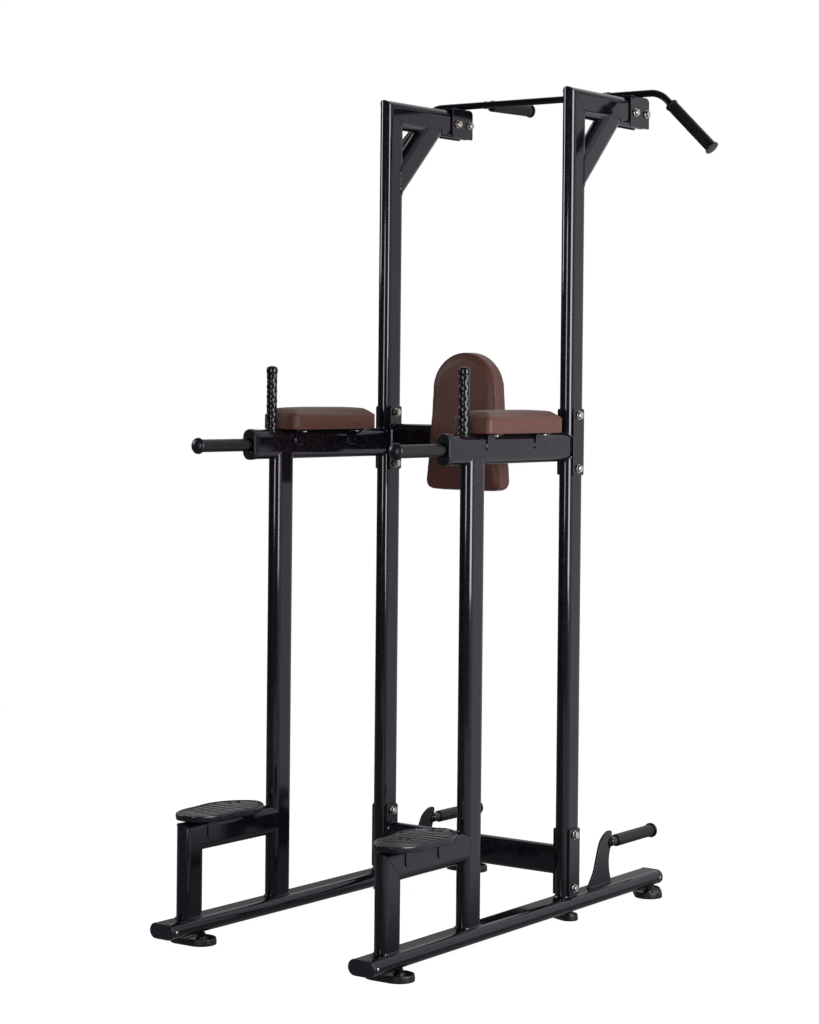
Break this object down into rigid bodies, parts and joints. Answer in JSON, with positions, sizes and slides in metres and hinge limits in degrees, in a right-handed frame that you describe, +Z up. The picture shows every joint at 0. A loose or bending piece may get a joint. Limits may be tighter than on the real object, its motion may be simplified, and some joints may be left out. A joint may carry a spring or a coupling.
{
  "type": "vertical knee raise station",
  "caption": "Free-standing knee raise, dip, push-up and pull-up tower of flat-oval steel tube with arm pads, back pad, footplates and levelling feet.",
  "frame": {"origin": "on the ground under the middle of the object's bounding box", "axes": "+Z up, +X to the right seen from the front, the user faces -Y with the back pad behind them"},
  "size_m": [1.1504, 1.4853, 2.32],
  "materials": {
    "frame_coat": "gloss powder coat, dark charcoal",
    "cap_plastic": "moulded black plastic, satin",
    "tread_plastic": "moulded black plastic with raised tread, satin",
    "foot_rubber": "black rubber, matte",
    "grip_rubber": "dark grey rubber with a fine raised pattern",
    "bolt_zinc": "zinc plated",
    "pad_cover": "dark brown synthetic leather, soft sheen"
  },
  "bodies": {
    "station": {"base_rail_left": "frame_coat", "mast_left": "frame_coat", "front_upright_left": "frame_coat", "arm_tube_left": "frame_coat", "step_frame_left": "frame_coat", "dip_handle_bar_left": "frame_coat", "push_up_handle_left": "frame_coat", "plate_upper_left": "frame_coat", "plate_lower_left": "frame_coat", "rail_cap_front_left": "cap_plastic", "rail_cap_rear_left": "cap_plastic", "arm_end_cap_left": "cap_plastic", "footplate_left": "tread_plastic", "dip_grip_left": "grip_rubber", "push_up_grip_left": "grip_rubber", "vertical_handle_left": "grip_rubber", "pull_up_grip_outer_left": "grip_rubber", "pull_up_grip_neutral_left": "grip_rubber", "arm_pad_left": "pad_cover", "bolt_upper_top_left": "bolt_zinc", "bolt_upper_bottom_left": "bolt_zinc", "bolt_lower_top_left": "bolt_zinc", "bolt_lower_bottom_left": "bolt_zinc", "bolt_bar_front_left": "bolt_zinc", "bolt_bar_rear_left": "bolt_zinc", "base_rail_right": "frame_coat", "mast_right": "frame_coat", "front_upright_right": "frame_coat", "arm_tube_right": "frame_coat", "step_frame_right": "frame_coat", "dip_handle_bar_right": "frame_coat", "push_up_handle_right": "frame_coat", "plate_upper_right": "frame_coat", "plate_lower_right": "frame_coat", "rail_cap_front_right": "cap_plastic", "rail_cap_rear_right": "cap_plastic", "arm_end_cap_right": "cap_plastic", "footplate_right": "tread_plastic", "dip_grip_right": "grip_rubber", "push_up_grip_right": "grip_rubber", "vertical_handle_right": "grip_rubber", "pull_up_grip_outer_right": "grip_rubber", "pull_up_grip_neutral_right": "grip_rubber", "arm_pad_right": "pad_cover", "bolt_upper_top_right": "bolt_zinc", "bolt_upper_bottom_right": "bolt_zinc", "bolt_lower_top_right": "bolt_zinc", "bolt_lower_bottom_right": "bolt_zinc", "bolt_bar_front_right": "bolt_zinc", "bolt_bar_rear_right": "bolt_zinc", "upper_crossbar": "frame_coat", "lower_crossbar": "frame_coat", "pull_up_bar": "frame_coat", "back_pad": "pad_cover"},
    "foot_front_left": {"foot_front_left": "foot_rubber"},
    "foot_middle_left": {"foot_middle_left": "foot_rubber"},
    "foot_rear_left": {"foot_rear_left": "foot_rubber"},
    "foot_front_right": {"foot_front_right": "foot_rubber"},
    "foot_middle_right": {"foot_middle_right": "foot_rubber"},
    "foot_rear_right": {"foot_rear_right": "foot_rubber"}
  },
  "joints": [
    {"name": "foot_front_left_screw", "type": "slide", "parent": "station", "child": "foot_front_left", "axis": [0, 0, 1], "range_m": [-0.012, 0.006]},
    {"name": "foot_middle_left_screw", "type": "slide", "parent": "station", "child": "foot_middle_left", "axis": [0, 0, 1], "range_m": [-0.012, 0.006]},
    {"name": "foot_rear_left_screw", "type": "slide", "parent": "station", "child": "foot_rear_left", "axis": [0, 0, 1], "range_m": [-0.012, 0.006]},
    {"name": "foot_front_right_screw", "type": "slide", "parent": "station", "child": "foot_front_right", "axis": [0, 0, 1], "range_m": [-0.012, 0.006]},
    {"name": "foot_middle_right_screw", "type": "slide", "parent": "station", "child": "foot_middle_right", "axis": [0, 0, 1], "range_m": [-0.012, 0.006]},
    {"name": "foot_rear_right_screw", "type": "slide", "parent": "station", "child": "foot_rear_right", "axis": [0, 0, 1], "range_m": [-0.012, 0.006]}
  ]
}
